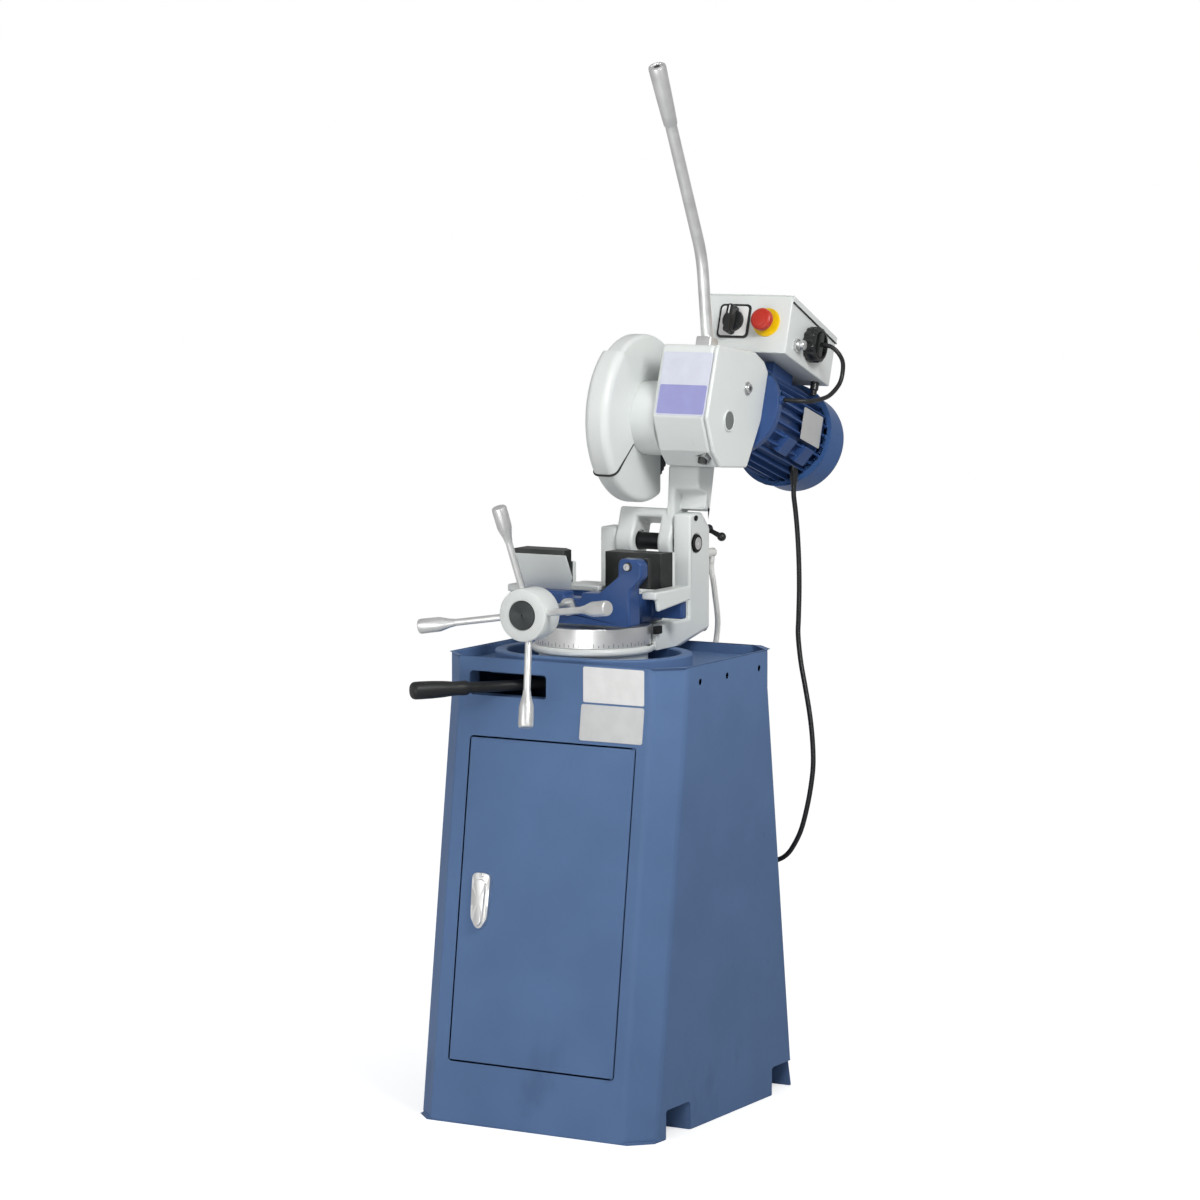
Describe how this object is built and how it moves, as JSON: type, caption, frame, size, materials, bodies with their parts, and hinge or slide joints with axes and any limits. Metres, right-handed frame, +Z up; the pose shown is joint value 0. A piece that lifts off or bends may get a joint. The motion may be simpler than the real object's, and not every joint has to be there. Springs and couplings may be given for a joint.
{
  "type": "cold saw",
  "caption": "Cold saw on a tapered cabinet stand: swivelling column, tilting blade head with telescoping guards, motor, control box, hand lever and screw vise.",
  "frame": {"origin": "on the floor at the middle of the four anchor holes in the foot rails", "axes": "+X to the motor side, +Y from the vise wheel to the column, +Z up"},
  "size_m": [0.5118, 0.8498, 1.8192],
  "materials": {
    "blue_paint": "satin",
    "deep_blue_paint": "gloss",
    "grey_paint": "satin",
    "satin_aluminium": "satin",
    "bright_steel": "satin",
    "black_steel": "satin",
    "black_plastic": "matte",
    "jaw_iron": "satin",
    "bronze": "satin",
    "yellow_plastic": "gloss",
    "red_plastic": "gloss",
    "pale_hose": "satin",
    "black_cable": "satin"
  },
  "bodies": {
    "stand": {"stand_cabinet": "blue_paint", "stand_floor": "blue_paint", "stand_tray": "deep_blue_paint", "tray_collar": "blue_paint", "coolant_tank": "bright_steel", "coolant_pump": "black_plastic", "stand_glands": "black_plastic", "door_brackets": "blue_paint", "pedestal_hub": "grey_paint", "scale_ring": "satin_aluminium", "lock_stud": "bright_steel", "vise_base": "deep_blue_paint", "vise_bed": "grey_paint", "vise_nut": "bronze", "fixed_jaws": "jaw_iron", "cable_lower": "black_cable"},
    "door": {"door_panel": "blue_paint", "latch_body": "bright_steel"},
    "latch": {"latch_handle": "bright_steel"},
    "latch_push": {"latch_button": "black_plastic"},
    "lock": {"lock_lever": "black_steel", "lock_grip": "black_plastic"},
    "jaw": {"jaw_carriage": "deep_blue_paint", "moving_jaws": "jaw_iron", "arm_bolt": "bright_steel", "splash_plate": "satin_aluminium"},
    "handwheel": {"vise_screw": "bright_steel", "wheel_hub": "grey_paint", "wheel_cap": "black_plastic", "wheel_spokes": "bright_steel", "wheel_grips": "satin_aluminium"},
    "column": {"swivel_column": "grey_paint", "column_fittings": "black_steel", "hinge_shaft": "bright_steel", "coolant_hose": "pale_hose", "cable_upper": "black_cable"},
    "clamp": {"clamp_lever": "black_steel"},
    "head": {"head_arm": "grey_paint", "gearbox_housing": "grey_paint", "gearbox_cover": "grey_paint", "head_plates": "satin_aluminium", "arbor_bearings": "bright_steel", "motor_body": "deep_blue_paint", "fan_cover": "deep_blue_paint", "control_box": "grey_paint", "control_lid": "grey_paint", "switch_plates": "yellow_plastic", "head_fittings": "black_plastic", "plug_cable": "black_cable", "hand_lever": "bright_steel", "lever_grip": "bright_steel", "guard_dome": "grey_paint"},
    "spindle": {"arbor": "bright_steel", "saw_blade": "bright_steel", "worm_wheel": "bronze"},
    "rotor": {"motor_rotor": "bright_steel"},
    "front_guard": {"guard_shell": "grey_paint"},
    "low_guard": {"guard_lower": "grey_paint"},
    "switch": {"switch_knob": "black_plastic"},
    "stop": {"stop_button": "red_plastic"}
  },
  "joints": [
    {"name": "base_swivel", "type": "hinge", "parent": "stand", "child": "column", "pos_m": [0, -0.066, 0.806], "axis": [0, 0, 1], "range_deg": [0, 45], "deforming": ["coolant_hose", "cable_lower"]},
    {"name": "head_swing", "type": "hinge", "parent": "column", "child": "head", "pos_m": [0, 0.124, 0.981], "axis": [1, 0, 0], "range_deg": [0, 63], "stiffness_Nm_per_rad": 110, "springref_deg": -14.32, "deforming": ["cable_upper"]},
    {"name": "front_guard_turn", "type": "hinge", "parent": "head", "child": "front_guard", "pos_m": [0, 0.086, 1.202], "axis": [1, 0, 0], "range_deg": [-91, 0]},
    {"name": "low_guard_turn", "type": "hinge", "parent": "head", "child": "low_guard", "pos_m": [0, 0.086, 1.202], "axis": [1, 0, 0], "range_deg": [-152, 0]},
    {"name": "blade_spin", "type": "hinge", "parent": "head", "child": "spindle", "pos_m": [0, 0.086, 1.202], "axis": [1, 0, 0], "continuous": true},
    {"name": "motor_spin", "type": "hinge", "parent": "head", "child": "rotor", "pos_m": [0.127, 0.10269, 1.25336], "axis": [0, 0.9511, -0.309], "continuous": true},
    {"name": "switch_turn", "type": "hinge", "parent": "head", "child": "switch", "pos_m": [0.103, 0.25396, 1.36718], "axis": [0, 0.9511, -0.309], "range_deg": [-60, 60]},
    {"name": "stop_press", "type": "slide", "parent": "head", "child": "stop", "axis": [0, 0.9511, -0.309], "range_m": [0, 0.006], "stiffness_N_per_m": 900, "springref_m": -0.004},
    {"name": "column_clamp", "type": "hinge", "parent": "column", "child": "clamp", "pos_m": [0.084, 0.172, 1], "axis": [0, 1, 0], "range_deg": [-40, 15]},
    {"name": "wheel_turn", "type": "hinge", "parent": "jaw", "child": "handwheel", "pos_m": [0, -0.2825, 0.89], "axis": [0, 1, 0], "range_deg": [-1440, 4750]},
    {"name": "vise_slide", "type": "slide", "parent": "stand", "child": "jaw", "axis": [0, 1, 0], "range_m": [-0.0201, 0.0661]},
    {"name": "lock_turn", "type": "hinge", "parent": "stand", "child": "lock", "pos_m": [0, -0.066, 0.752], "axis": [0, 0, 1], "range_deg": [-10, 22]},
    {"name": "door_swing", "type": "hinge", "parent": "stand", "child": "door", "pos_m": [0.159, -0.24393, 0.3838], "axis": [0, 0.1369, 0.9906], "range_deg": [0, 100]},
    {"name": "latch_turn", "type": "hinge", "parent": "door", "child": "latch", "pos_m": [-0.118, -0.2442, 0.41109], "axis": [0, -0.9906, 0.1369], "range_deg": [0, 90]},
    {"name": "latch_press", "type": "slide", "parent": "door", "child": "latch_push", "axis": [0, 0.9906, -0.1369], "range_m": [0, 0.003], "stiffness_N_per_m": 300, "springref_m": -0.003}
  ],
  "couplings": [
    {"joint": "front_guard_turn", "follows": "head_swing", "ratio": -1.4286},
    {"joint": "low_guard_turn", "follows": "head_swing", "ratio": -2.3968},
    {"joint": "blade_spin", "follows": "motor_spin", "ratio": 0.033333},
    {"joint": "vise_slide", "follows": "wheel_turn", "m_per_rad": 0.00079577}
  ]
}
